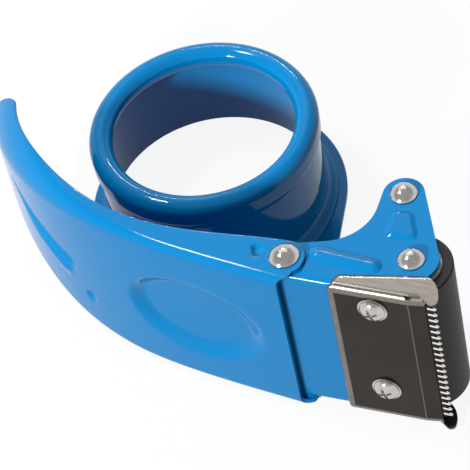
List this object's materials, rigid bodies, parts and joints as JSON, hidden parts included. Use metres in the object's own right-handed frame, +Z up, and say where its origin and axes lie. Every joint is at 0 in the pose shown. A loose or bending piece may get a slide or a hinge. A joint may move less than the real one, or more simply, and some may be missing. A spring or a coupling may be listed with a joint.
{
  "type": "packing tape dispenser",
  "caption": "Hand-held packing tape dispenser of pressed blue steel: a core hub, a channel handle that brakes a rubber roller when squeezed, and a toothed blade under a screwed steel cover",
  "frame": {"origin": "on the hub's axis, in the plane of the hub's foot, which the dispenser lies on", "axes": "+Z runs up the hub's axis, away from the surface that the dispenser lies on; +X runs along the head's web towards the blade's teeth, and the handle and the head lie on the hub's -Y side"},
  "size_m": [0.1715, 0.1187, 0.0648],
  "materials": {
    "blue_enamel": "glossy baked blue enamel on pressed steel",
    "bright_zinc": "bright plated steel",
    "plain_steel": "plain zinc plated steel strip and tube",
    "spring_wire": "drawn spring wire",
    "guide_steel": "turned and plated steel tube",
    "blade_steel": "hardened steel with ground teeth",
    "cover_steel": "bright rolled stainless sheet",
    "roller_rubber": "ground black rubber",
    "pad_rubber": "moulded black rubber",
    "bush_plastic": "natural nylon"
  },
  "bodies": {
    "frame": {"head_frame": "blue_enamel", "hub_ring": "blue_enamel", "pivot_rivet": "bright_zinc", "pivot_sleeve": "plain_steel", "return_spring": "spring_wire", "guide_axle": "bright_zinc", "guide_washers": "bright_zinc", "roller_axle": "bright_zinc", "roller_washers": "bright_zinc", "blade": "blade_steel", "blade_cover": "cover_steel", "blade_screws": "bright_zinc", "screw_washers": "bright_zinc"},
    "grip": {"handle": "blue_enamel", "brake_lever": "plain_steel", "brake_pad": "pad_rubber"},
    "tape_roller": {"rubber_roller": "roller_rubber", "roller_core": "plain_steel", "roller_bushes": "bush_plastic"},
    "tape_guide": {"guide_roller": "guide_steel"}
  },
  "joints": [
    {"name": "handle_squeeze", "type": "hinge", "parent": "frame", "child": "grip", "pos_m": [0.0536, -0.0656, 0.0315], "axis": [0, 0, -1], "range_deg": [0, 5], "stiffness_Nm_per_rad": 4, "springref_deg": -6.88},
    {"name": "roller_turn", "type": "hinge", "parent": "frame", "child": "tape_roller", "pos_m": [0.0905, -0.058, 0.0315], "axis": [0, 0, 1], "continuous": true},
    {"name": "guide_turn", "type": "hinge", "parent": "frame", "child": "tape_guide", "pos_m": [0.0808, -0.0337, 0.0315], "axis": [0, 0, 1], "continuous": true}
  ]
}
